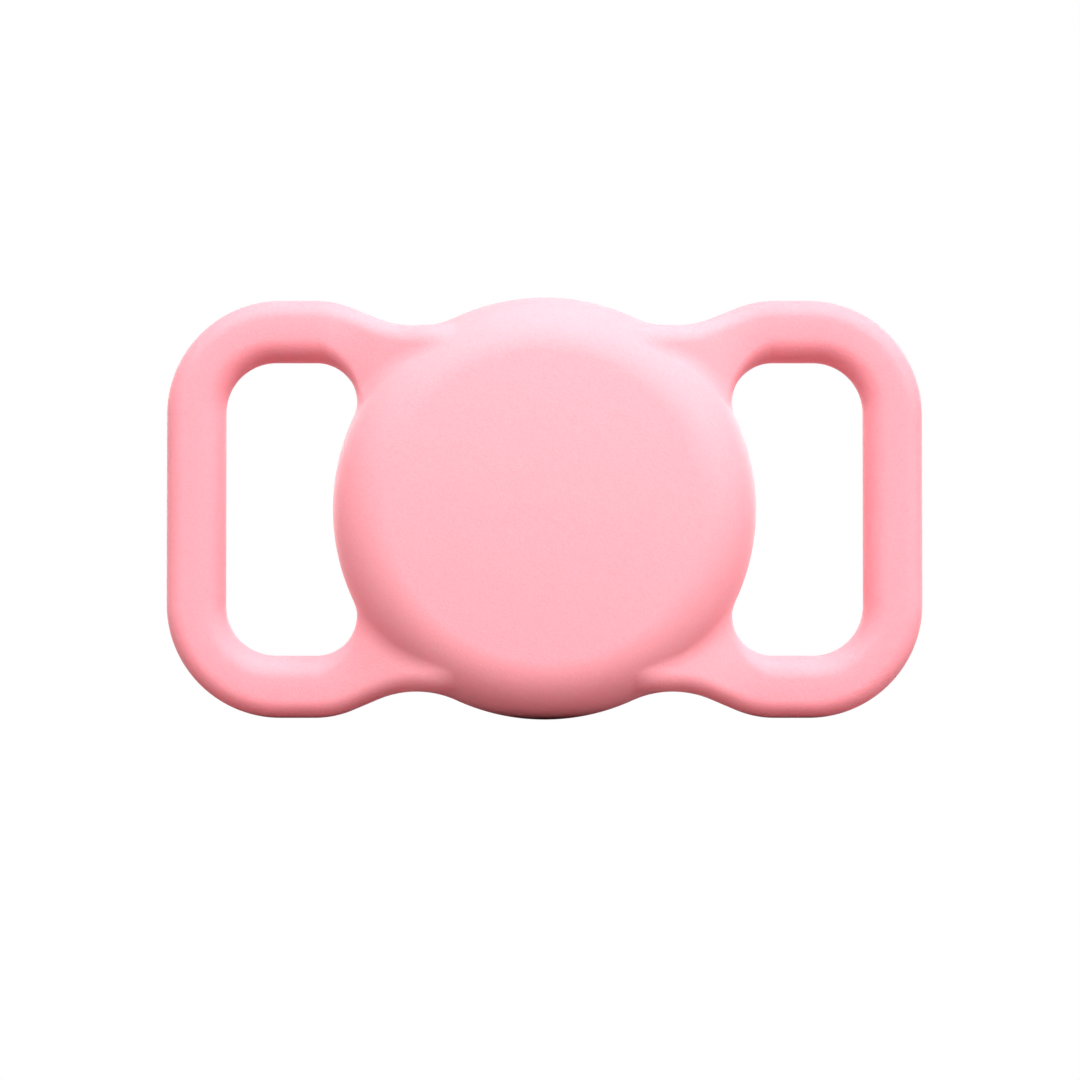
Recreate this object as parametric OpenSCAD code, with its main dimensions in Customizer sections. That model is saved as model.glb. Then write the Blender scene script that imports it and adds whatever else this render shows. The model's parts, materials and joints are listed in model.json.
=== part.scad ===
// Slide-on holder for a coin-shaped tracker tag, with the tag inside it.
// The pieces are drawn lying on their backs, with the tag's axis along Z, and upright()
// stands them up: X runs along the strap, the closed front faces -Y and Z is up.

/* [Tag] */
// Diameter of the coin-shaped tag
tag_d = 31.9; // [29:0.1:36]
// Thickness of the tag
tag_h = 8.0; // [7.6:0.1:10]
// Radius of the tag's front edge
tag_front_r = 2.8; // [1.5:0.1:3.2]
// Side wall of the tag's front shell
shell_wall = 0.9; // [0.6:0.05:1.2]
// Roof of the tag's front shell
shell_roof = 0.8; // [0.5:0.05:1.0]

/* [Sleeve] */
// Silicone wall round the tag
sleeve_wall = 2.1; // [1.6:0.1:3]
// Silicone over the middle of the tag's front
front_wall = 2.0; // [1.8:0.1:3]
// Radius of the pod's gently domed front
crown_r = 125; // [80:1:400]
// Thickness of the lip that holds the tag in
lip_t = 1.8; // [1.2:0.1:2.6]
// Reach of the lip over the tag's back
lip_reach = 2.8; // [2:0.1:4]
// Radius of the pod's front shoulder
shoulder_r = 5.5; // [3.5:0.1:6]
// Radius of the pod's back edge
back_r = 2.0; // [1:0.1:2.6]

/* [Strap loops] */
// Width of the strap that the loops take
strap_w = 25; // [20:1:26]
// Width of each loop's opening, from the pod outwards
slot_w = 9.3; // [7:0.1:12]
// Width of the upright outer bars
side_bar = 5.1; // [4:0.1:7]
// Width of the bars above and below each opening
top_bar = 5.5; // [5:0.1:7]
// Thickness of the loops, front to back
loop_t = 4.2; // [3.6:0.1:5]
// Drop from the pod's front face to the front of the loops
loop_drop = 5.6; // [4.6:0.1:6]
// Rise of the webs towards the pod, at the necks
neck_rise = 2.6; // [0.5:0.1:3]
// Radius of the loops' outer corners
corner_r = 9.8; // [8:0.1:10.4]
// Straight stretch along the top of each loop
top_flat = 2.5; // [1.5:0.1:3.5]
// Radius of the shoulder where a loop turns down to its neck
loop_shoulder_r = 8.6; // [7:0.1:10]
// Slope of the webs between shoulder and neck, in degrees
web_slope = 23; // [20:0.5:25]
// Radius of the hollow necks beside the pod
neck_r = 8.4; // [7:0.1:9.5]
// Radius of the openings' outer corners
slot_corner_r = 4.3; // [2.5:0.1:5]
// Radius of the openings' inner corners
slot_inner_r = 3.2; // [2.2:0.1:3.8]
// Rounding of the loops' edges
edge_r = 1.7; // [0.8:0.1:1.8]

/* [Battery] */
// Diameter of the coin cell
cell_d = 20; // [16:0.5:21]
// Thickness of the coin cell
cell_h = 3.2; // [2.5:0.1:3.2]

/* [Battery cover] */
// Width of the casing seen round the steel battery cover
cover_inset = 1.35; // [1.3:0.05:1.6]
// Depth of the cover's turned rim
cover_rim_h = 0.9; // [0.7:0.05:0.9]
// Span of each bayonet tab, in degrees
tab_span = 22; // [14:1:24]
// Turn that unlocks the cover, in degrees
unlock_turn = 26; // [24:1:30]

/* [Hidden] */
// Smoothness of the round surfaces
$fn = 96;
// Smoothness of the domed front, which is part of a much larger circle
crown_fn = 720;
// Overrun of cuts
over = 0.5;

// Fits
pocket_gap = 0.05;
tag_gap = 0.1;
strap_play = 0.2;
cover_gap = 0.08;
axial_gap = 0.05;
seat_gap = 0.02;

// Pod
tag_r = tag_d / 2;
pocket_r = tag_r + pocket_gap;
pod_r = pocket_r + sleeve_wall;
pocket_top = lip_t + tag_h + 2 * tag_gap;
depth = pocket_top + front_wall;
mouth_r = pocket_r - lip_reach;
// The dome's centre, and the centre of the shoulder that it meets without a crease
crown_z = depth - crown_r;
shoulder_x = pod_r - shoulder_r;
shoulder_z = crown_z + sqrt(pow(crown_r - shoulder_r, 2) - pow(shoulder_x, 2));

// Loops, in one quarter: x outwards from the pod's axis, y upwards
slot_x = pod_r + slot_w;
slot_y = (strap_w + strap_play) / 2;
loop_x = slot_x + side_bar;
loop_y = slot_y + top_bar;
loop_front = depth - loop_drop;
loop_back = loop_front - loop_t;
corner_c = [loop_x - corner_r, loop_y - corner_r];
loop_shoulder_c = [corner_c[0] - top_flat, loop_y - loop_shoulder_r];
slot_c = [slot_x - slot_corner_r, slot_y - slot_corner_r];
slot_inner_y = slot_y - slot_inner_r;
slot_inner_c = [sqrt(pow(pod_r + slot_inner_r, 2) - pow(slot_inner_y, 2)), slot_inner_y];
// The neck's arc touches the sloping web and the pod's circle
web_normal = [-sin(web_slope), cos(web_slope)];
web_along = [cos(web_slope), sin(web_slope)];
neck_off = loop_shoulder_c * web_normal + loop_shoulder_r + neck_r;
neck_c = web_normal * neck_off + web_along * sqrt(pow(pod_r + neck_r, 2) - pow(neck_off, 2));
// The webs rise between these two distances from the middle, slowly at first
neck_share = 0.25;
ease_share = 0.3;
rise_start = slot_inner_c[0];
rise_end = neck_c[0] - neck_r * neck_share;
// The arms leave their arcs short of the pod by this turn, and end inside the pod's wall
root_turn = 15;
root_share = 0.35;
root_r = pocket_r + sleeve_wall * root_share;
// Steps along the corners, shoulders and necks, and round each edge
corner_steps = 7;
shoulder_steps = 3;
neck_steps = 6;
edge_steps = 3;

// Tag, measured from its back face
tag_z = lip_t + tag_gap;
roof_z = tag_h - shell_roof;
shell_rim = 1.7;
shell_in_r = tag_r - shell_wall;
carrier_back = 0.25;
carrier_edge_r = 1.2;
carrier_gap = 0.1;
carrier_r = shell_in_r - carrier_gap;
carrier_wall = 0.65;
floor_t = 0.4;
ledge_t = 0.45;
ledge_depth = 0.85;
groove_r = carrier_r - carrier_wall;
ledge_r = groove_r - ledge_depth;
seal_w = 0.35;
seal_h = 0.36;
ledge_z = cover_rim_h + seal_h + 2 * seat_gap;
cell_r = cell_d / 2;
cell_z = cover_rim_h + axial_gap;
floor_gap = 0.35;
floor_z = cell_z + cell_h + floor_gap;
board_z = floor_z + floor_t + axial_gap;
// The shell's inner rounding starts above the carrier
shell_in_edge = min(tag_front_r - shell_roof, roof_z - floor_z - floor_t);

// Battery cover
cover_r = tag_r - cover_inset;
cover_t = 0.3;
cover_edge_r = 0.45;
seat_r = cover_r + cover_gap;
liner_t = 0.55;
liner_in_share = 0.4;
skirt_t = 0.6;
skirt_gap = 0.1;
skirt_r = ledge_r - skirt_gap;
tab_t = 0.5;
tab_z = ledge_z + ledge_t + axial_gap;
tab_r = groove_r - skirt_gap;
tab_count = 3;
notch_play = 4;
notch_depth = 0.1;
stop_play = 2.5;
stop_span = 3.3;
stop_gap = 0.2;
stop_h = 0.65;

// Coin cell
can_t = 0.25;
cell_cap_t = 0.25;
cap_r_share = 0.89;
cap_r = cell_r * cap_r_share;
gasket_w = 0.6;
gasket_h = 0.5;
anode_h_share = 0.2;
cathode_h_share = 0.52;
fill_gap = 0.08;

// Contacts
leaf_t = 0.2;
leaf_w = 3;
leaf_len = 12;
foot_len = 1.2;
side_leaf_gap = 0.08;
side_leaf_span = 24;
side_leaf_turns = [60, 240];
side_leaf_drop = 1.25;
well_wall = 0.65;
well_play = 0.1;
well_drop = 1.15;
well_r = cell_r + side_leaf_gap + leaf_t + well_play;

// Circuit board and what stands on it
board_t = 0.6;
board_edge = 0.3;
board_r = carrier_r - board_edge;
speaker_gap = 0.25;
part_z = board_z + board_t + seat_gap;
part_room = roof_z - part_z;
shield_wall = 0.2;
shield_in_share = 0.52;
shield_out_share = 0.89;
shield_h_share = 0.61;
shield_in_r = board_r * shield_in_share;
shield_out_r = board_r * shield_out_share;
shield_h = part_room * shield_h_share;
shield_from = 15;
shield_span = 85;
shield_end_turn = 1;
chip_h_share = 0.46;
chip_h = part_room * chip_h_share;
// Each chip: its angle as a share of a turn, then its distance from the axis, its length and its
// width as shares of the board's radius
chip_shares = [[0.356, 0.59, 0.205, 0.205], [0.422, 0.79, 0.165, 0.123],
               [0.594, 0.575, 0.178, 0.233], [0.683, 0.78, 0.11, 0.082],
               [0.833, 0.59, 0.233, 0.233], [0.894, 0.82, 0.082, 0.123],
               [0.95, 0.56, 0.137, 0.11]];
crystal_from = 272;
crystal_share = 0.725;
crystal_r = board_r * crystal_share;
crystal_len = 3.2;
crystal_w = 1.5;
crystal_h_share = 0.43;
crystal_h = part_room * crystal_h_share;
foam_in_share = 0.71;
foam_out_share = 0.875;
foam_in_r = board_r * foam_in_share;
foam_out_r = board_r * foam_out_share;
foam_from = 170;
foam_span = 30;

// Speaker
yoke_r = 5.5;
yoke_t = 0.4;
yoke_wall = 0.45;
yoke_drop = 0.3;
speaker_room = roof_z - board_z - yoke_t;
magnet_r = 3.5;
magnet_h_share = 0.6;
magnet_h = speaker_room * magnet_h_share;
pole_t_share = 0.19;
pole_t = speaker_room * pole_t_share;
coil_in_r = 4.0;
coil_w = 0.6;
coil_h_share = 0.67;
coil_h = speaker_room * coil_h_share;

// Antenna traces on the carrier's side
trace_t = 0.05;
trace_span = 70;
trace_count = 3;
trace_low = 2.2;
trace_h = 1.9;

pink = [1.0, 0.68, 0.72];
white_plastic = [0.93, 0.93, 0.92];
steel = [0.78, 0.79, 0.80];

// Helpers

// Stands a piece up on the pod's edge, with the holder's depth centred on Y
module upright() {
    translate([0, depth / 2, pod_r]) rotate([90, 0, 0]) children();
}

// Stands a piece of the tag up, with heights measured from the tag's back face
module in_tag() {
    upright() translate([0, 0, tag_z]) children();
}

// A plain ring about the Z axis
module ring(r_in, r_out, z, h) {
    translate([0, 0, z]) difference() {
        cylinder(r = r_out, h = h);
        translate([0, 0, -over]) cylinder(r = r_in, h = h + 2 * over);
    }
}

// Part of a ring, over a span of degrees from an angle
module ring_part(r_in, r_out, z, h, from, span) {
    translate([0, 0, z]) rotate([0, 0, from])
        rotate_extrude(angle = span) translate([r_in, 0]) square([r_out - r_in, h]);
}

// Half section of one rounded edge, from the axis out to r
module edge_section(r, z, edge, low) {
    translate([0, z]) {
        square([r - edge, edge]);
        intersection() {
            translate([r - edge, low ? edge : 0]) circle(r = edge);
            square([r, edge]);
        }
    }
}

// Half section of a disc from z to z + h, with either edge rounded
module disc_section(r, z, h, low_r, high_r) {
    translate([0, z + low_r]) square([r, h - low_r - high_r]);
    if (low_r > 0) edge_section(r, z, low_r, true);
    if (high_r > 0) edge_section(r, z + h - high_r, high_r, false);
}

// Points along an arc
function arc(centre, r, from, to, steps) =
    [for (i = [0 : steps]) centre + r * [cos(from + (to - from) * i / steps),
                                         sin(from + (to - from) * i / steps)]];

// A point at an angle on a circle about the pod's axis
function polar(r, a) = [r * cos(a), r * sin(a)];

// Angle of a point about the pod's axis
function bearing(p) = atan2(p[1], p[0]);

// Outer edge of one quarter of a loop, from the side bar to the pod
outer_rail = concat(
    [[loop_x, 0]],
    arc(corner_c, corner_r, 0, 90, corner_steps),
    arc(loop_shoulder_c, loop_shoulder_r, 90, 90 + web_slope, shoulder_steps),
    arc(neck_c, neck_r, web_slope - 90, bearing(neck_c) - 180 + root_turn, neck_steps),
    [polar(root_r, bearing(neck_c))]);

// Edge of the opening, point by point opposite the outer edge
inner_rail = concat(
    [[slot_x, 0]],
    arc(slot_c, slot_corner_r, 0, 90, corner_steps),
    [for (i = [0 : shoulder_steps])
        [slot_c[0] + (slot_inner_c[0] - slot_c[0]) * (i + 1) / (shoulder_steps + 2), slot_y]],
    arc(slot_inner_c, slot_inner_r, 90, 180 + bearing(slot_inner_c) - root_turn, neck_steps),
    [polar(root_r, bearing(slot_inner_c))]);

// Height of the web's front at a distance from the middle: a ramp with a soft start
function ramp(t) = t < ease_share ? t * t / (2 * ease_share) : t - ease_share / 2;
function web_front(x) =
    let (t = min(1, max(0, (rise_start - x) / (rise_start - rise_end))))
    loop_front + neck_rise * ramp(t) / ramp(1);

// One section of an arm, from the opening's edge to the outer edge
function edge_corner(x, z, from) =
    [for (i = [0 : edge_steps]) [x + edge_r * cos(from + 90 * i / edge_steps),
                                 z + edge_r * sin(from + 90 * i / edge_steps)]];
function arm_section(p, q) =
    let (w = norm(q - p),
         along = (q - p) / w,
         low = loop_back + edge_r,
         flat = concat(edge_corner(edge_r, low, 180),
                       edge_corner(w - edge_r, low, 270),
                       edge_corner(w - edge_r, web_front(q[0]) - edge_r, 0),
                       edge_corner(edge_r, web_front(p[0]) - edge_r, 90)))
    [for (s = flat) [p[0] + along[0] * s[0], p[1] + along[1] * s[0], s[1]]];

// Sections of a whole arm, from one neck round the side bar to the other
last_rail = len(outer_rail) - 1;
function across(p) = [p[0], -p[1]];
arm_sections = concat(
    [for (k = [last_rail : -1 : 1]) arm_section(across(inner_rail[k]), across(outer_rail[k]))],
    [for (k = [0 : last_rail]) arm_section(inner_rail[k], outer_rail[k])]);

// Skin over a row of sections that have the same number of points
module skin(sections) {
    n = len(sections[0]);
    rows = len(sections);
    points = [for (s = sections) for (p = s) p];
    sides = [for (k = [0 : rows - 2]) for (i = [0 : n - 1])
        let (a = k * n + i, b = k * n + (i + 1) % n)
        for (f = [[a, b + n, a + n], [a, b, b + n]]) f];
    first = [for (i = [n - 1 : -1 : 0]) i];
    last = [for (i = [0 : n - 1]) (rows - 1) * n + i];
    polyhedron(points, concat(sides, [first, last]));
}

// Sleeve

// The dome spans a wedge out to the shoulder's centre line
module crown_section() {
    wedge_h = depth + over - crown_z;
    intersection() {
        translate([0, crown_z]) circle(r = crown_r, $fn = crown_fn);
        polygon([[0, crown_z], [0, crown_z + wedge_h],
                 [wedge_h * shoulder_x / (shoulder_z - crown_z), crown_z + wedge_h]]);
        translate([0, back_r]) square([pod_r, depth]);
    }
}

module pod_solid() {
    rotate_extrude() {
        disc_section(pod_r, 0, shoulder_z, back_r, 0);
        intersection() {
            translate([shoulder_x, shoulder_z]) circle(r = shoulder_r);
            translate([0, back_r]) square([pod_r, depth]);
        }
        crown_section();
    }
}

module pocket() {
    pocket_h = pocket_top + over;
    translate([0, 0, -over])
        rotate_extrude() disc_section(pocket_r, 0, pocket_h, 0, tag_front_r + tag_gap);
}

module holder_sleeve() {
    color(pink) upright() difference() {
        union() {
            pod_solid();
            skin(arm_sections);
            mirror([1, 0, 0]) skin(arm_sections);
        }
        pocket();
    }
}

module mouth_lip() {
    color(pink) upright() rotate_extrude() {
        translate([mouth_r + lip_t / 2, 0]) square([pocket_r - mouth_r - lip_t / 2, lip_t]);
        intersection() {
            translate([mouth_r + lip_t / 2, lip_t / 2]) circle(r = lip_t / 2);
            translate([mouth_r, 0]) square([lip_t / 2, lip_t]);
        }
    }
}

// Tag casing

module tag_shell() {
    inner_h = tag_h - shell_roof - shell_rim + over;
    color(white_plastic) in_tag() rotate_extrude() difference() {
        disc_section(tag_r, shell_rim, tag_h - shell_rim, 0, tag_front_r);
        translate([0, -over]) disc_section(shell_in_r, shell_rim, inner_h, 0, shell_in_edge);
    }
}

// Angle of each bayonet tab; the cover unlocks towards lower angles
function tab_angle(i) = 360 / tab_count * i;

module tag_carrier() {
    notch_span = tab_span + notch_play;
    color(white_plastic) in_tag() {
        difference() {
            rotate_extrude() difference() {
                union() {
                    disc_section(tag_r, carrier_back, shell_rim - carrier_back, carrier_edge_r, 0);
                    translate([0, carrier_back])
                        square([carrier_r, floor_z + floor_t - carrier_back]);
                }
                // Seat of the cover and its seal, the battery's room and the groove for the tabs
                square([seat_r, ledge_z]);
                square([ledge_r, floor_z]);
                translate([0, ledge_z + ledge_t]) square([groove_r, floor_z - ledge_z - ledge_t]);
            }
            // Entry notches for the tabs
            for (i = [0 : tab_count - 1])
                ring_part(ledge_r - over, groove_r + notch_depth, ledge_z - over,
                          ledge_t + 2 * over, tab_angle(i) - unlock_turn - notch_span / 2,
                          notch_span);
        }
        // Stops at both ends of the cover's turn
        for (i = [0 : tab_count - 1])
            for (from = [tab_angle(i) + tab_span / 2 + stop_play,
                         tab_angle(i) - unlock_turn - tab_span / 2 - stop_play - stop_span])
                ring_part(skirt_r + stop_gap, groove_r + carrier_wall / 2, ledge_z + ledge_t / 2,
                          stop_h + ledge_t / 2, from, stop_span);
        // Wall of the battery well
        ring(well_r, well_r + well_wall, cell_z + well_drop,
             floor_z + floor_t / 2 - cell_z - well_drop);
    }
}

module antenna_traces() {
    color("peru") in_tag()
        for (i = [0 : trace_count - 1])
            ring_part(carrier_r, carrier_r + trace_t, trace_low, trace_h,
                      360 / trace_count * i, trace_span);
}

// Battery cover

module battery_cover() {
    color(steel) in_tag() rotate_extrude() difference() {
        disc_section(cover_r, 0, cover_rim_h, cover_edge_r, 0);
        translate([0, cover_t]) square([cover_r - cover_t, cover_rim_h]);
    }
}

module cover_bayonet_ring() {
    ring_z = cover_t + seat_gap;
    liner_r = cover_r - cover_t - cover_gap;
    color("dimgray") in_tag() {
        ring(cell_r * liner_in_share, liner_r, ring_z, liner_t);
        ring(skirt_r - skirt_t, skirt_r, ring_z, tab_z + tab_t - ring_z);
        for (i = [0 : tab_count - 1])
            ring_part(skirt_r - skirt_t / 2, tab_r, tab_z, tab_t,
                      tab_angle(i) - tab_span / 2, tab_span);
    }
}

module cover_seal() {
    color("dimgray") in_tag()
        ring(cover_r - seal_w, cover_r, cover_rim_h + seat_gap, seal_h);
}

// Coin cell, with its can towards the cover

module cell_can() {
    color(steel) in_tag() translate([0, 0, cell_z]) difference() {
        cylinder(r = cell_r, h = cell_h - cell_cap_t);
        translate([0, 0, can_t]) cylinder(r = cell_r - can_t, h = cell_h);
    }
}

module cell_cathode() {
    color("black") in_tag()
        translate([0, 0, cell_z + can_t])
            cylinder(r = cap_r - fill_gap, h = cell_h * cathode_h_share);
}

module cell_anode() {
    color("silver") in_tag()
        translate([0, 0, cell_z + can_t + cell_h * cathode_h_share + fill_gap])
            cylinder(r = cap_r - fill_gap, h = cell_h * anode_h_share);
}

module cell_cap() {
    color(steel) in_tag() translate([0, 0, cell_z + cell_h - cell_cap_t])
        cylinder(r = cap_r, h = cell_cap_t);
}

module cell_gasket() {
    color("dimgray") in_tag()
        ring(cap_r + seat_gap, cap_r + gasket_w, cell_z + cell_h - gasket_h, gasket_h - fill_gap);
}

// Contacts

module negative_contact() {
    top = floor_z - cell_z - cell_h;
    color("gold") in_tag() translate([0, 0, floor_z]) {
        translate([-leaf_len / 2, -leaf_w / 2, -top + axial_gap])
            cube([leaf_len, leaf_w, leaf_t]);
        for (side = [-1, 1])
            translate([side * (leaf_len - foot_len) / 2 - foot_len / 2, -leaf_w / 2, -top + axial_gap])
                cube([foot_len, leaf_w, top - axial_gap]);
    }
}

module positive_contacts() {
    low = cell_z + side_leaf_drop;
    color("gold") in_tag()
        for (a = side_leaf_turns)
            ring_part(cell_r + side_leaf_gap, cell_r + side_leaf_gap + leaf_t, low, floor_z - low,
                      a - side_leaf_span / 2, side_leaf_span);
}

// Circuit board

module circuit_board() {
    color("darkgreen") in_tag()
        ring(yoke_r + speaker_gap, board_r, board_z, board_t);
}

module radio_shield() {
    color(steel) in_tag() difference() {
        ring_part(shield_in_r, shield_out_r, part_z, shield_h, shield_from, shield_span);
        ring_part(shield_in_r + shield_wall, shield_out_r - shield_wall, part_z - shield_wall,
                  shield_h, shield_from + shield_end_turn, shield_span - 2 * shield_end_turn);
    }
}

module board_chips() {
    color("black") in_tag()
        for (c = chip_shares)
            rotate([0, 0, 360 * c[0]])
                translate([board_r * (c[1] - c[2] / 2), -board_r * c[3] / 2, part_z])
                    cube([board_r * c[2], board_r * c[3], chip_h]);
}

module clock_crystal() {
    color(steel) in_tag() rotate([0, 0, crystal_from])
        translate([crystal_r - crystal_w / 2, -crystal_len / 2, part_z])
            cube([crystal_w, crystal_len, crystal_h]);
}

module board_foam() {
    color("dimgray") in_tag()
        ring_part(foam_in_r, foam_out_r, part_z, roof_z - axial_gap - part_z, foam_from, foam_span);
}

// Speaker: the front shell is its cone, and the coil hangs from the shell's roof

module speaker_yoke() {
    color(steel) in_tag() {
        translate([0, 0, board_z]) cylinder(r = yoke_r, h = yoke_t);
        ring(yoke_r - yoke_wall, yoke_r, board_z, roof_z - yoke_drop - board_z);
    }
}

module speaker_magnet() {
    color("gray") in_tag() translate([0, 0, board_z + yoke_t])
        cylinder(r = magnet_r, h = magnet_h);
}

module speaker_pole_plate() {
    color(steel) in_tag() translate([0, 0, board_z + yoke_t + magnet_h])
        cylinder(r = magnet_r, h = pole_t);
}

module voice_coil() {
    color("peru") in_tag()
        ring(coil_in_r, coil_in_r + coil_w, roof_z - seat_gap - coil_h, coil_h);
}

holder_sleeve();
mouth_lip();
tag_shell();
tag_carrier();
battery_cover();
cover_bayonet_ring();
cover_seal();
cell_can();
cell_cathode();
cell_anode();
cell_cap();
cell_gasket();
negative_contact();
positive_contacts();
circuit_board();
radio_shield();
board_chips();
clock_crystal();
board_foam();
speaker_yoke();
speaker_magnet();
speaker_pole_plate();
voice_coil();
antenna_traces();
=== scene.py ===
import json
import math

import bpy
import numpy as np
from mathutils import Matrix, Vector


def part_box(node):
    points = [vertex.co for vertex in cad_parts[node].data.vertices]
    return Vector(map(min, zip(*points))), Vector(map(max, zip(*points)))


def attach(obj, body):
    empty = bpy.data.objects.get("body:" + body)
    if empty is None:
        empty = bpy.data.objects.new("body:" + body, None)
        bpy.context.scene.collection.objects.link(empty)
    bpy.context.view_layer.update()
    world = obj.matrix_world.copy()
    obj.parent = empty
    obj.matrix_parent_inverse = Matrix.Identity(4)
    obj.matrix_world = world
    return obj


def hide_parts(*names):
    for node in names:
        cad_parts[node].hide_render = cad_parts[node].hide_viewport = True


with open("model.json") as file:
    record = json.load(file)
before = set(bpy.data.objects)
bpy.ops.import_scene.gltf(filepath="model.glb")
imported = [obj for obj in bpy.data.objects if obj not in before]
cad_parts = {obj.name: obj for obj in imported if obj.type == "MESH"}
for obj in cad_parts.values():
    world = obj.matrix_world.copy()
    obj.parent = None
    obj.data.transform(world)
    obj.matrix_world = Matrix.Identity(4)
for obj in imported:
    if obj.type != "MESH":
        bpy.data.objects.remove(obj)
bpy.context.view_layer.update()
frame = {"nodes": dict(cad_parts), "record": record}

# Sizes of the sleeve, in millimetres. It is drawn lying on its back: u runs along the strap,
# v across it, and d up from the back plane to the closed front.
MM = 0.001
SLEEVE_LOW, SLEEVE_HIGH = (np.array(corner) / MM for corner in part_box("holder_sleeve"))
LIP_LOW, LIP_HIGH = (np.array(corner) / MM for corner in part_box("mouth_lip"))
SHELL_FRONT_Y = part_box("tag_shell")[0][1] / MM
SHELL_PLAY = 0.1
DEPTH = SLEEVE_HIGH[1] - SLEEVE_LOW[1]
BACK_Y = SLEEVE_HIGH[1]
HALF_X = SLEEVE_HIGH[0]
POD_R = (SLEEVE_HIGH[2] - SLEEVE_LOW[2]) / 2
POD_Z = (SLEEVE_HIGH[2] + SLEEVE_LOW[2]) / 2
LIP_T = LIP_HIGH[1] - LIP_LOW[1]
POCKET_R = (LIP_HIGH[0] - LIP_LOW[0]) / 2
POCKET_TOP = BACK_Y - SHELL_FRONT_Y + SHELL_PLAY
MID_WALL_R = (POD_R + POCKET_R) / 2
MOUTH_R = 13.2
SHOULDER_R = 5.5
CROWN_R = 125
CROWN_D = DEPTH - CROWN_R
SHOULDER_X = POD_R - SHOULDER_R
SHOULDER_D = CROWN_D + math.sqrt((CROWN_R - SHOULDER_R) ** 2 - SHOULDER_X ** 2)
BACK_R = 2.0
POCKET_EDGE_R = 2.9
LIP_EDGE_R = 0.85
# Outline of the loops
HALF_V = 17.95
CORNER_R = 9.8
TOP_FLAT = 2.9
LOOP_SHOULDER_R = 8.6
WEB_SLOPE = math.radians(23)
NECK_R = 8.4
SLOT_X = 27.4
SLOT_V = 12.6
SLOT_CORNER_R = 4.3
SLOT_INNER_R = 3.5
# Edges and fronts of the loops
BAR_EDGE_R = 1.5
NECK_EDGE_R = 1.8
SLOT_EDGE_R = 2.0
SLOT_CORNER_EDGE_R = 0.6
SLOT_EDGE_START = 19.4
SLOT_EDGE_END = 16.0
BAR_HALF = 2.7
BAR_CROWN_R = 15
LOOP_BACK = 2.2
LOOP_FRONT = 6.4
# Rise of the fronts towards the pod, from RISE_START down to RISE_END along the strap
RISE_START = 18.2
RISE_END = 8.0
RISE = 3.3
RISE_EASE_SHARE = 0.3
# Inner corners and the filling between the loops and the pod
FILLET_R = 2.1
FILL_FRONT = SHOULDER_D + NECK_EDGE_R
SEAM_R = 0.4
# The least filling of an inner corner, as a length and as a share of a radius. It looks sharp
SHARP = 0.01
SHARP_SHARE = 0.01
# Steps and rounds of the mesh
GRID_STEP = 0.3
SLOPE_STEP = 0.01
LEAST_SLOPE = 0.2
TINY = 1e-9
FIRST_ROUNDS = 3
RELAX_ROUNDS = 4
LAST_ROUNDS = 2


def round_meet(a, b, radius):
    """Distance to where both a and b are inside, with the outer corner rounded."""
    corner = np.hypot(np.maximum(a + radius, 0), np.maximum(b + radius, 0))
    return np.minimum(np.maximum(a, b), -radius) + corner


def soft_join(a, b, reach):
    """Distance to where a or b is inside, with the inner corner filled."""
    near = np.maximum(reach - np.abs(a - b), 0) / reach
    return np.minimum(a, b) - near * near * reach / 4


def loop_outlines(u, v):
    """Distances to two outer edges, seen from the front: the arms alone, which run straight into
    the pod from the bottom of their hollow necks, and arms, necks and pod together."""
    normal = np.array([-math.sin(WEB_SLOPE), math.cos(WEB_SLOPE)])
    along = np.array([math.cos(WEB_SLOPE), math.sin(WEB_SLOPE)])
    shoulder = np.array([HALF_X - CORNER_R - TOP_FLAT, HALF_V - LOOP_SHOULDER_R])
    web = shoulder @ normal + LOOP_SHOULDER_R
    reach = LOOP_SHOULDER_R * math.tan(WEB_SLOPE / 2) * math.sin(WEB_SLOPE)
    loop = round_meet(u - HALF_X, v - HALF_V, CORNER_R)
    loop = -soft_join(-loop, web - u * normal[0] - v * normal[1], reach)
    # The neck is an arc that touches both the web's edge and the pod
    off = web + NECK_R
    neck = normal * off + along * math.sqrt((POD_R + NECK_R) ** 2 - off ** 2)
    turn = np.arctan2(v - neck[1], u - neck[0])
    dist = np.hypot(u - neck[0], v - neck[1])
    near = (turn < WEB_SLOPE - math.pi / 2) & (dist < NECK_R + SHOULDER_R)
    in_neck = near & (turn > math.atan2(neck[1], neck[0]) - math.pi)
    arms = np.where(near & (u >= neck[0]), NECK_R - dist, loop)
    arms = np.where(u < neck[0], v - neck[1] + NECK_R, arms)
    whole = np.where(in_neck, NECK_R - dist, np.minimum(loop, np.hypot(u, v) - POD_R))
    return arms, whole, neck[0]


def slot_outline(u, v):
    """Distance to the edge of the strap openings."""
    outer = round_meet(u - SLOT_X, v - SLOT_V, SLOT_CORNER_R)
    slot = np.maximum(outer, POD_R - np.hypot(u, v))
    # The inner corner is an arc that touches both the pod and the opening's straight side
    inner_v = SLOT_V - SLOT_INNER_R
    inner_u = math.sqrt((POD_R + SLOT_INNER_R) ** 2 - inner_v ** 2)
    turn = np.mod(np.arctan2(v - inner_v, u - inner_u), 2 * math.pi)
    in_corner = (turn > math.pi / 2) & (turn < math.pi + math.atan2(inner_v, inner_u))
    return np.where(in_corner, np.hypot(u - inner_u, v - inner_v) - SLOT_INNER_R, slot)


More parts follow.
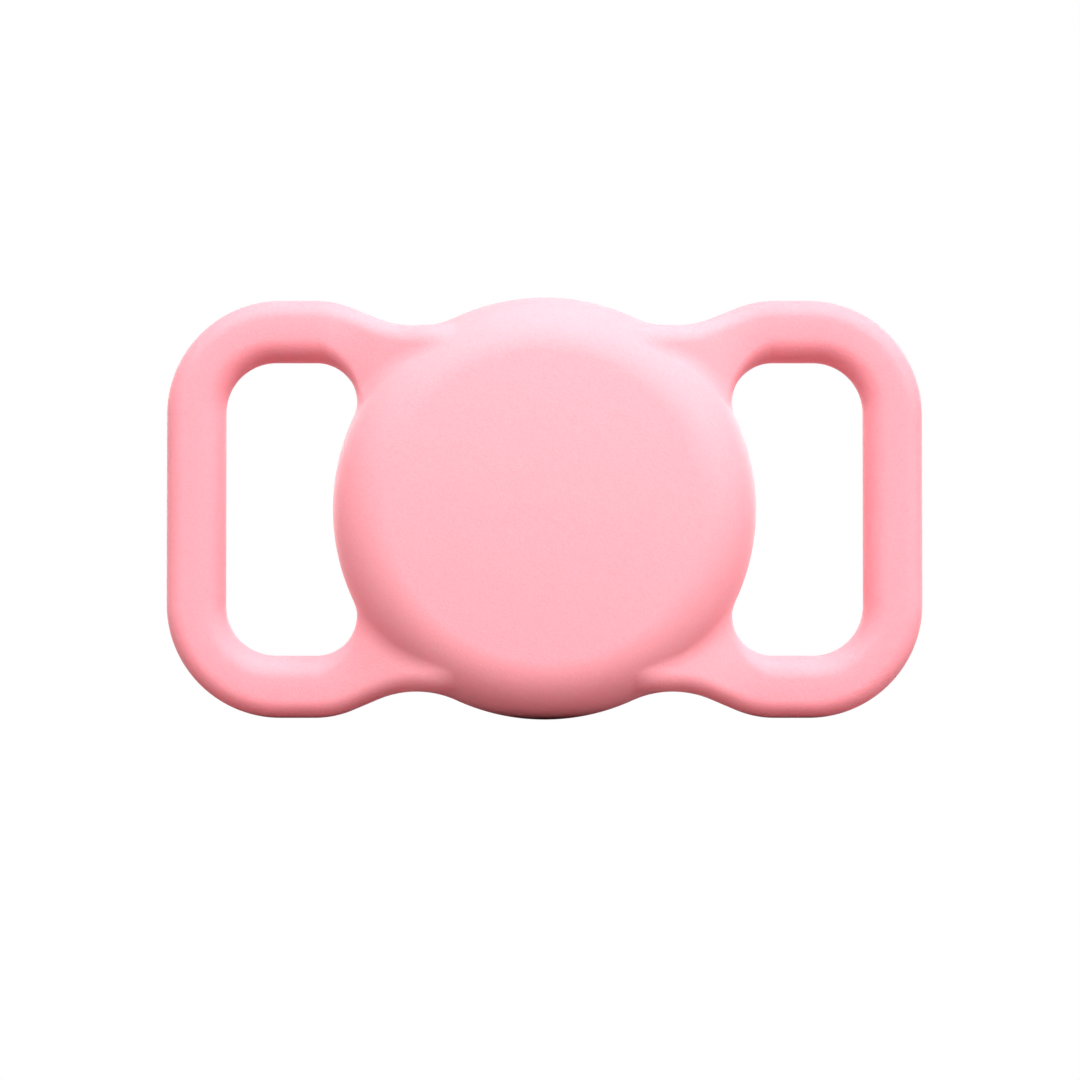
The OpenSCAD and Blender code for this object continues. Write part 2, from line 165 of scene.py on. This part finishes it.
def web_front(u):
    """Height and slope of the loops' front face, which rises towards the pod."""
    t = np.clip((RISE_START - u) / (RISE_START - RISE_END), 0, 1)
    ease, left = RISE_EASE_SHARE, 1 - t
    ramp = np.where(t < ease, t * t / (2 * ease), t - ease / 2)
    ramp = np.where(left < ease, 1 - ease - left * left / (2 * ease), ramp) / (1 - ease)
    steep = np.clip(np.minimum(t, left) / ease, 0, 1) / (1 - ease)
    return LOOP_FRONT + RISE * ramp, -RISE * steep / (RISE_START - RISE_END)


def pod_front(r, d):
    """Distance to the domed front and its round shoulder, and the way that the surface faces."""
    wing = np.hypot(r - SHOULDER_X, d - SHOULDER_D) + TINY
    rise = np.hypot(r, d - CROWN_D)
    domed = r * (SHOULDER_D - CROWN_D) < (d - CROWN_D) * SHOULDER_X
    above = d > SHOULDER_D
    distance = np.where(domed, rise - CROWN_R, np.where(above, wing - SHOULDER_R, r - POD_R))
    outward = np.where(domed, r / rise, np.where(above, (r - SHOULDER_X) / wing, 1))
    forward = np.where(domed, (d - CROWN_D) / rise, np.where(above, (d - SHOULDER_D) / wing, 0))
    return distance, outward, forward


def rounded_plate(outline, slot, slab, edge_r, slot_edge_r):
    """Distance to a plate with the strap openings in it, all edges rounded."""
    return np.maximum(round_meet(outline, slab, edge_r), round_meet(-slot, slab, slot_edge_r))


def sleeve_distance(points):
    """Distance to the sleeve's surface, below zero inside the silicone."""
    u, v, d = np.abs(points[..., 0]), np.abs(points[..., 1]), points[..., 2]
    r = np.hypot(u, v)
    front_half = d > DEPTH / 2
    front, outward, forward = pod_front(r, d)
    pod = np.where(front_half, front, round_meet(r - POD_R, -d, BACK_R))
    slot = slot_outline(u, v)
    arms, whole, neck_u = loop_outlines(u, v)
    plan = np.maximum(arms, -slot)
    # Front face of the arms, blended into the pod by a fillet that suits the corner between them
    height, slope = web_front(u)
    bar_share = np.clip((u - RISE_END) / (RISE_START - RISE_END), 0, 1)
    height = height - bar_share * np.maximum(plan + BAR_HALF, 0) ** 2 / (2 * BAR_CROWN_R)
    tilt = 1 / np.sqrt(1 + slope * slope)
    facing = (forward - outward * u / np.maximum(r, TINY) * slope) * tilt
    corner = np.where(front_half, 1 - facing, 1)
    slab = np.maximum((d - height) * tilt, LOOP_BACK - d)
    arm_slab = soft_join(slab, pod, FILLET_R * np.clip(corner, SHARP_SHARE, 2))
    # Arms with rounded edges, and the lower filling between their straight ends and the pod
    edge_r = NECK_EDGE_R + (BAR_EDGE_R - NECK_EDGE_R) * bar_share
    near_pod = np.clip((SLOT_EDGE_START - u) / (SLOT_EDGE_START - SLOT_EDGE_END), 0, 1)
    slot_edge_r = SLOT_EDGE_R + (SLOT_CORNER_EDGE_R - SLOT_EDGE_R) * near_pod
    arm = rounded_plate(arms, slot, arm_slab, edge_r, slot_edge_r)
    fill_slab = np.maximum(slab, d - FILL_FRONT)
    fill = rounded_plate(whole, slot, fill_slab, edge_r, slot_edge_r)
    solid = soft_join(arm, fill, SEAM_R * np.clip((neck_u - u) / NECK_R, SHARP_SHARE, 1))
    beside = np.clip(1 + plan / edge_r, SHARP_SHARE, 1)
    solid = soft_join(solid, pod, SEAM_R * np.clip(corner, SHARP_SHARE, 1) * beside)
    solid = np.maximum(solid, whole)
    # Pocket and lip
    pocket = round_meet(r - POCKET_R, d - POCKET_TOP, POCKET_EDGE_R)
    lip = round_meet(round_meet(MOUTH_R - r, d - LIP_T, LIP_EDGE_R), -d, LIP_EDGE_R)
    lip = np.maximum(np.maximum(lip, pod), r - MID_WALL_R)
    root = np.where(d > LIP_T / 2, SEAM_R, SHARP)
    return soft_join(np.maximum(solid, -pocket), lip, root)


def gradient(points):
    """Slope of the distance at each point."""
    slopes = []
    for axis in range(3):
        move = np.zeros(3)
        move[axis] = SLOPE_STEP
        ahead = sleeve_distance(points + move)
        behind = sleeve_distance(points - move)
        slopes.append((ahead - behind) / (2 * SLOPE_STEP))
    return np.stack(slopes, -1)


def settle(points, rounds):
    """Moves points onto the surface."""
    for _ in range(rounds):
        slope = gradient(points)
        size = np.maximum((slope * slope).sum(-1, keepdims=True), LEAST_SLOPE)
        points = points - sleeve_distance(points)[:, None] * slope / size
    return points


def surface_net(distance, low, high, step):
    """Closed mesh of quads over the zero of a distance: one point in each cell that it crosses."""
    counts = np.ceil((high - low) / step).astype(int) + 1
    axes = [low[i] + step * np.arange(counts[i]) for i in range(3)]
    grid = np.stack(np.meshgrid(*axes, indexing="ij"), -1)
    inside = distance(grid) < 0
    held = np.zeros(counts - 1, int)
    for corner in np.ndindex(2, 2, 2):
        part = tuple(slice(c, n - 1 + c) for c, n in zip(corner, counts))
        held += inside[part]
    active = (held > 0) & (held < 8)
    number = np.full(held.shape, -1)
    number[active] = np.arange(active.sum())
    points = low + (np.argwhere(active) + 0.5) * step
    quads = []
    for axis in range(3):
        # Each edge that the surface crosses is ringed by four cells
        side, other = (axis + 1) % 3, (axis + 2) % 3
        near = [slice(1, -1)] * 3
        far = [slice(1, -1)] * 3
        near[axis], far[axis] = slice(0, -1), slice(1, None)
        start, end = inside[tuple(near)], inside[tuple(far)]
        for flip in (False, True):
            crossed = (end & ~start) if flip else (start & ~end)
            cell = np.argwhere(crossed)
            cell[:, side] += 1
            cell[:, other] += 1
            ring = []
            for a, b in ((1, 1), (0, 1), (0, 0), (1, 0)):
                place = cell.copy()
                place[:, side] -= a
                place[:, other] -= b
                ring.append(number[tuple(place.T)])
            quad = np.stack(ring, -1)
            quads.append(quad[:, ::-1] if flip else quad)
    return points, np.concatenate(quads)


def relax(points, quads, rounds):
    """Evens out the mesh along the surface."""
    links = np.concatenate([quads[:, [0, 1]], quads[:, [1, 2]], quads[:, [2, 3]], quads[:, [3, 0]]])
    links = np.concatenate([links, links[:, ::-1]])
    count = np.bincount(links[:, 0], minlength=len(points))
    for _ in range(rounds):
        sums = [np.bincount(links[:, 0], points[links[:, 1], axis], len(points))
                for axis in range(3)]
        points = settle((points + np.stack(sums, -1) / count[:, None]) / 2, 1)
    return points


def make_sleeve():
    """The silicone moulding in one piece, on the CAD's place and stood upright."""
    low = np.array([-HALF_X, -POD_R, 0]) - 2 * GRID_STEP
    high = np.array([HALF_X, POD_R, DEPTH]) + 2 * GRID_STEP
    points, quads = surface_net(sleeve_distance, low, high, GRID_STEP)
    points = settle(points, FIRST_ROUNDS)
    points = settle(relax(points, quads, RELAX_ROUNDS), LAST_ROUNDS)
    normals = gradient(points)
    normals /= np.linalg.norm(normals, axis=1, keepdims=True)
    places = np.stack([points[:, 0], BACK_Y - points[:, 2], POD_Z + points[:, 1]], -1) * MM
    normals = np.stack([normals[:, 0], -normals[:, 2], normals[:, 1]], -1)
    mesh = bpy.data.meshes.new("sleeve")
    mesh.from_pydata(places.tolist(), [], quads.tolist())
    mesh.polygons.foreach_set("use_smooth", [True] * len(quads))
    mesh.update()
    mesh.normals_split_custom_set_from_vertices(normals.tolist())
    sleeve = bpy.data.objects.new("sleeve", mesh)
    bpy.context.scene.collection.objects.link(sleeve)
    return sleeve


# Silicone: each tone is a darker and a lighter colour of the grain. The loops' tones are painted
# shade: darker and deeper pink than the pod's, for the dimmer light on the narrow loops
POD_TONES = (0.925, 0.361, 0.412), (0.955, 0.434, 0.485)
LOOP_PAINTED_SHADE_TONES = (0.918, 0.326, 0.377), (0.948, 0.392, 0.445)
# Where the loops' painted shade fades in, as a distance from the middle along the strap
LOOP_SHADE_START = POD_R - 5
LOOP_SHADE_END = POD_R + 3
TINT_GRAIN = 4600
BUMP_GRAIN = 5200
BUMP_HEIGHT = 0.03
BUMP_STRENGTH = 0.7
SCATTER_DEPTH = 1.5
# Other finishes
NOISE_DETAIL = 2
MOTTLE_SHARE = 1 / 12
DARKER_SHARE = 0.93
PLAIN_BUMP_STRENGTH = 0.5


def new_material(name):
    material = bpy.data.materials.new(name)
    material.use_nodes = True
    nodes = material.node_tree.nodes
    return material, nodes, material.node_tree.links, nodes["Principled BSDF"]


def noise(nodes, links, scale):
    """Noise that is fixed to the object."""
    place = nodes.new("ShaderNodeTexCoord")
    texture = nodes.new("ShaderNodeTexNoise")
    texture.inputs["Scale"].default_value = scale
    texture.inputs["Detail"].default_value = NOISE_DETAIL
    links.new(place.outputs["Object"], texture.inputs["Vector"])
    return texture


def bump(nodes, links, shader, texture, height, strength):
    """Fine relief, with its height in millimetres."""
    node = nodes.new("ShaderNodeBump")
    node.inputs["Distance"].default_value = height * MM
    node.inputs["Strength"].default_value = strength
    links.new(texture.outputs["Fac"], node.inputs["Height"])
    links.new(node.outputs["Normal"], shader.inputs["Normal"])


def math_node(nodes, links, operation, first, second):
    """Works out one number from two, each a value or another node's output."""
    node = nodes.new("ShaderNodeMath")
    node.operation = operation
    for socket, value in zip(node.inputs, (first, second)):
        if isinstance(value, (int, float)):
            socket.default_value = value
        else:
            links.new(value, socket)
    return node.outputs[0]


def blend_colours(nodes, links, factor, first, second):
    """Mixes two colours, each a value or another node's output, by a factor."""
    mix = nodes.new("ShaderNodeMix")
    mix.data_type = "RGBA"
    links.new(factor, mix.inputs["Factor"])
    for name, colour in (("A", first), ("B", second)):
        if isinstance(colour, tuple):
            mix.inputs[name].default_value = (*colour, 1)
        else:
            links.new(colour, mix.inputs[name])
    return mix.outputs["Result"]


def loop_shade_share(nodes, links):
    """0 on the pod and 1 on the loops, where the loops' painted shade takes over."""
    place = nodes.new("ShaderNodeTexCoord")
    axes = nodes.new("ShaderNodeSeparateXYZ")
    share = nodes.new("ShaderNodeMapRange")
    share.interpolation_type = "SMOOTHSTEP"
    share.inputs["From Min"].default_value = LOOP_SHADE_START * MM
    share.inputs["From Max"].default_value = LOOP_SHADE_END * MM
    links.new(place.outputs["Object"], axes.inputs["Vector"])
    size = math_node(nodes, links, "ABSOLUTE", axes.outputs["X"], 0)
    links.new(size, share.inputs["Value"])
    return share.outputs["Result"]


def silicone():
    """Matt pink with a fine grain, which lets a little red light through its edges. The loops get
    painted shade: a darker tone than the pod.
    """
    material, nodes, links, shader = new_material("silicone")
    grain = noise(nodes, links, TINT_GRAIN).outputs["Fac"]
    pod = blend_colours(nodes, links, grain, *POD_TONES)
    # Painted shade: the loops are coloured darker than the pod
    loops = blend_colours(nodes, links, grain, *LOOP_PAINTED_SHADE_TONES)
    tone = blend_colours(nodes, links, loop_shade_share(nodes, links), pod, loops)
    links.new(tone, shader.inputs["Base Color"])
    shader.inputs["Roughness"].default_value = 0.62
    shader.inputs["Specular IOR Level"].default_value = 0.25
    shader.inputs["Subsurface Weight"].default_value = 0.5
    shader.inputs["Subsurface Radius"].default_value = (1.0, 0.35, 0.35)
    shader.inputs["Subsurface Scale"].default_value = SCATTER_DEPTH * MM
    bump(nodes, links, shader, noise(nodes, links, BUMP_GRAIN), BUMP_HEIGHT, BUMP_STRENGTH)
    return material


def plain(name, colour, roughness, metallic, grain, height):
    """One faintly mottled colour, with a grain of the height given in millimetres."""
    material, nodes, links, shader = new_material(name)
    mottle = noise(nodes, links, grain * MOTTLE_SHARE).outputs["Fac"]
    darker = tuple(c * DARKER_SHARE for c in colour)
    tone = blend_colours(nodes, links, mottle, darker, colour)
    links.new(tone, shader.inputs["Base Color"])
    shader.inputs["Roughness"].default_value = roughness
    shader.inputs["Metallic"].default_value = metallic
    bump(nodes, links, shader, noise(nodes, links, grain), height, PLAIN_BUMP_STRENGTH)
    return material


def spin(material):
    """Gives a turned finish round the tag's axis."""
    nodes, links = material.node_tree.nodes, material.node_tree.links
    tangent = nodes.new("ShaderNodeTangent")
    tangent.direction_type = "RADIAL"
    tangent.axis = "Y"
    shader = nodes["Principled BSDF"]
    shader.inputs["Anisotropic"].default_value = 0.6
    links.new(tangent.outputs["Tangent"], shader.inputs["Tangent"])


def dress_nodes():
    """A finish for each of the tag's materials: colour, roughness, metal, grain and its height."""
    finishes = {
        "white_plastic": ((0.62, 0.62, 0.61), 0.22, 0, 3000, 0.004),
        "black_plastic": ((0.03, 0.03, 0.03), 0.5, 0, 3000, 0.01),
        "seal_rubber": ((0.06, 0.06, 0.06), 0.7, 0, 3000, 0.01),
        "cover_steel": ((0.56, 0.56, 0.57), 0.24, 1, 2400, 0.002),
        "cell_steel": ((0.62, 0.62, 0.60), 0.3, 1, 2400, 0.004),
        "cathode": ((0.02, 0.02, 0.02), 0.9, 0, 3000, 0.01),
        "anode": ((0.60, 0.61, 0.60), 0.5, 1, 2400, 0.01),
        "contact_gold": ((0.80, 0.60, 0.25), 0.25, 1, 2400, 0.004),
        "board_green": ((0.02, 0.12, 0.06), 0.4, 0, 3000, 0.01),
        "chip_black": ((0.02, 0.02, 0.02), 0.5, 0, 5000, 0.01),
        "shield_tin": ((0.60, 0.61, 0.60), 0.35, 1, 2400, 0.004),
        "foam_grey": ((0.08, 0.08, 0.09), 0.9, 0, 2500, 0.05),
        "speaker_steel": ((0.40, 0.40, 0.40), 0.35, 1, 2400, 0.004),
        "magnet": ((0.35, 0.35, 0.36), 0.3, 1, 2400, 0.004),
        "copper": ((0.72, 0.33, 0.18), 0.3, 1, 2400, 0.004),
    }
    materials = {slot: plain(slot, *finish) for slot, finish in finishes.items()}
    spin(materials["cover_steel"])
    for part in frame["record"]["subparts"]:
        if part["material_slot"] in materials:
            mesh = frame["nodes"][part["node"]].data
            mesh.materials.clear()
            mesh.materials.append(materials[part["material_slot"]])


# Camera, face on from floor height, and tilted up a little towards the middle of the part
FRAME_MM = 92.6
SENSOR_MM = 36
NEAR_CLIP = 10
CAMERA_DISTANCE = 480
CAMERA_HEIGHT = 0
AIM_X = -0.39
AIM_Z = 15.4


def make_camera():
    camera = bpy.data.objects.new("camera", bpy.data.cameras.new("camera"))
    bpy.context.scene.collection.objects.link(camera)
    target = Vector((AIM_X, 0, AIM_Z)) * MM
    camera.location = Vector((AIM_X, -CAMERA_DISTANCE, CAMERA_HEIGHT)) * MM
    camera.rotation_euler = (target - camera.location).to_track_quat("-Z", "Y").to_euler()
    camera.data.sensor_width = SENSOR_MM
    camera.data.lens = SENSOR_MM * CAMERA_DISTANCE / FRAME_MM
    camera.data.clip_start = NEAR_CLIP * MM
    bpy.context.scene.camera = camera


# Suns: direction, how many degrees each spans, and its strength
SUNS = {
    "key": ((0, -0.77, 0.64), 40, 2.2),
    "key_right": ((0.44, -0.63, 0.64), 40, 1.05),
    "key_left": ((-0.44, -0.63, 0.64), 40, 0.45),
    "top_right": ((0.21, -0.37, 0.91), 40, 1.1),
    "top_left": ((-0.21, -0.37, 0.91), 40, 0.35),
    "side_right": ((0.85, -0.3, 0.43), 40, 1.1),
    "side_left": ((-0.85, -0.3, 0.43), 40, 0.4),
    "back_right": ((0.5, 0.85, 0.18), 30, 1.2),
    "back_left": ((-0.5, 0.85, 0.18), 30, 1.2),
}
# Plain light from all round, and what the camera sees as white
FILL_STRENGTH = 0.09
WHITE_STRENGTH = 1
# Floor: the colour that lights the part from below, and the colour that is seen
FLOOR_HALF_MM = 3000
FLOOR_GLOW = (0.28, 0.16, 0.16)
FLOOR_WHITE = (0.98, 0.98, 0.98)
# The lit floor is brighter than white, so metal and glass are shown less of it
FLOOR_SEEN_SHARE = 0.6


def soft_sun(name, towards, spread, strength):
    """Light from far away, in the direction given, as soft as a lamp that spans some degrees."""
    light = bpy.data.objects.new(name, bpy.data.lights.new(name, "SUN"))
    bpy.context.scene.collection.objects.link(light)
    light.data.angle = math.radians(spread)
    light.data.energy = strength
    light.rotation_euler = Vector(towards).to_track_quat("Z", "Y").to_euler()


def whiten(nodes, links, seen_share):
    """1 where the camera sees something directly, and a share of that in metal or glass."""
    path = nodes.new("ShaderNodeLightPath")
    glossy, glass = path.outputs["Is Glossy Ray"], path.outputs["Is Transmission Ray"]
    seen = math_node(nodes, links, "MAXIMUM", glossy, glass)
    part = math_node(nodes, links, "MULTIPLY", seen, seen_share)
    return math_node(nodes, links, "MAXIMUM", path.outputs["Is Camera Ray"], part)


def make_world():
    """White to the camera and to metal, and a faint even light on the part."""
    world = bpy.data.worlds.new("studio")
    bpy.context.scene.world = world
    world.use_nodes = True
    nodes, links = world.node_tree.nodes, world.node_tree.links
    shade = nodes["Background"]
    tone = nodes.new("ShaderNodeMapRange")
    tone.inputs["To Min"].default_value = FILL_STRENGTH
    tone.inputs["To Max"].default_value = WHITE_STRENGTH
    links.new(whiten(nodes, links, 1), tone.inputs["Value"])
    links.new(tone.outputs["Result"], shade.inputs["Strength"])
    shade.inputs["Color"].default_value = (1, 1, 1, 1)


def make_floor():
    """White to the camera, with the part's shadow on it."""
    mesh = bpy.data.meshes.new("floor")
    half = FLOOR_HALF_MM * MM
    corners = [(-half, -half, 0), (half, -half, 0), (half, half, 0), (-half, half, 0)]
    mesh.from_pydata(corners, [], [(0, 1, 2, 3)])
    floor = bpy.data.objects.new("floor", mesh)
    bpy.context.scene.collection.objects.link(floor)
    material, nodes, links, shader = new_material("floor")
    seen = whiten(nodes, links, FLOOR_SEEN_SHARE)
    tone = blend_colours(nodes, links, seen, FLOOR_GLOW, FLOOR_WHITE)
    links.new(tone, shader.inputs["Base Color"])
    shader.inputs["Roughness"].default_value = 0.9
    shader.inputs["Specular IOR Level"].default_value = 0
    mesh.materials.append(material)


sleeve = make_sleeve()
sleeve.data.materials.append(silicone())
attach(sleeve, "holder")
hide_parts("holder_sleeve", "mouth_lip")
dress_nodes()
make_camera()
make_world()
make_floor()
bpy.context.scene.view_settings.view_transform = "Standard"
for name, (towards, spread, strength) in SUNS.items():
    soft_sun(name, towards, spread, strength)
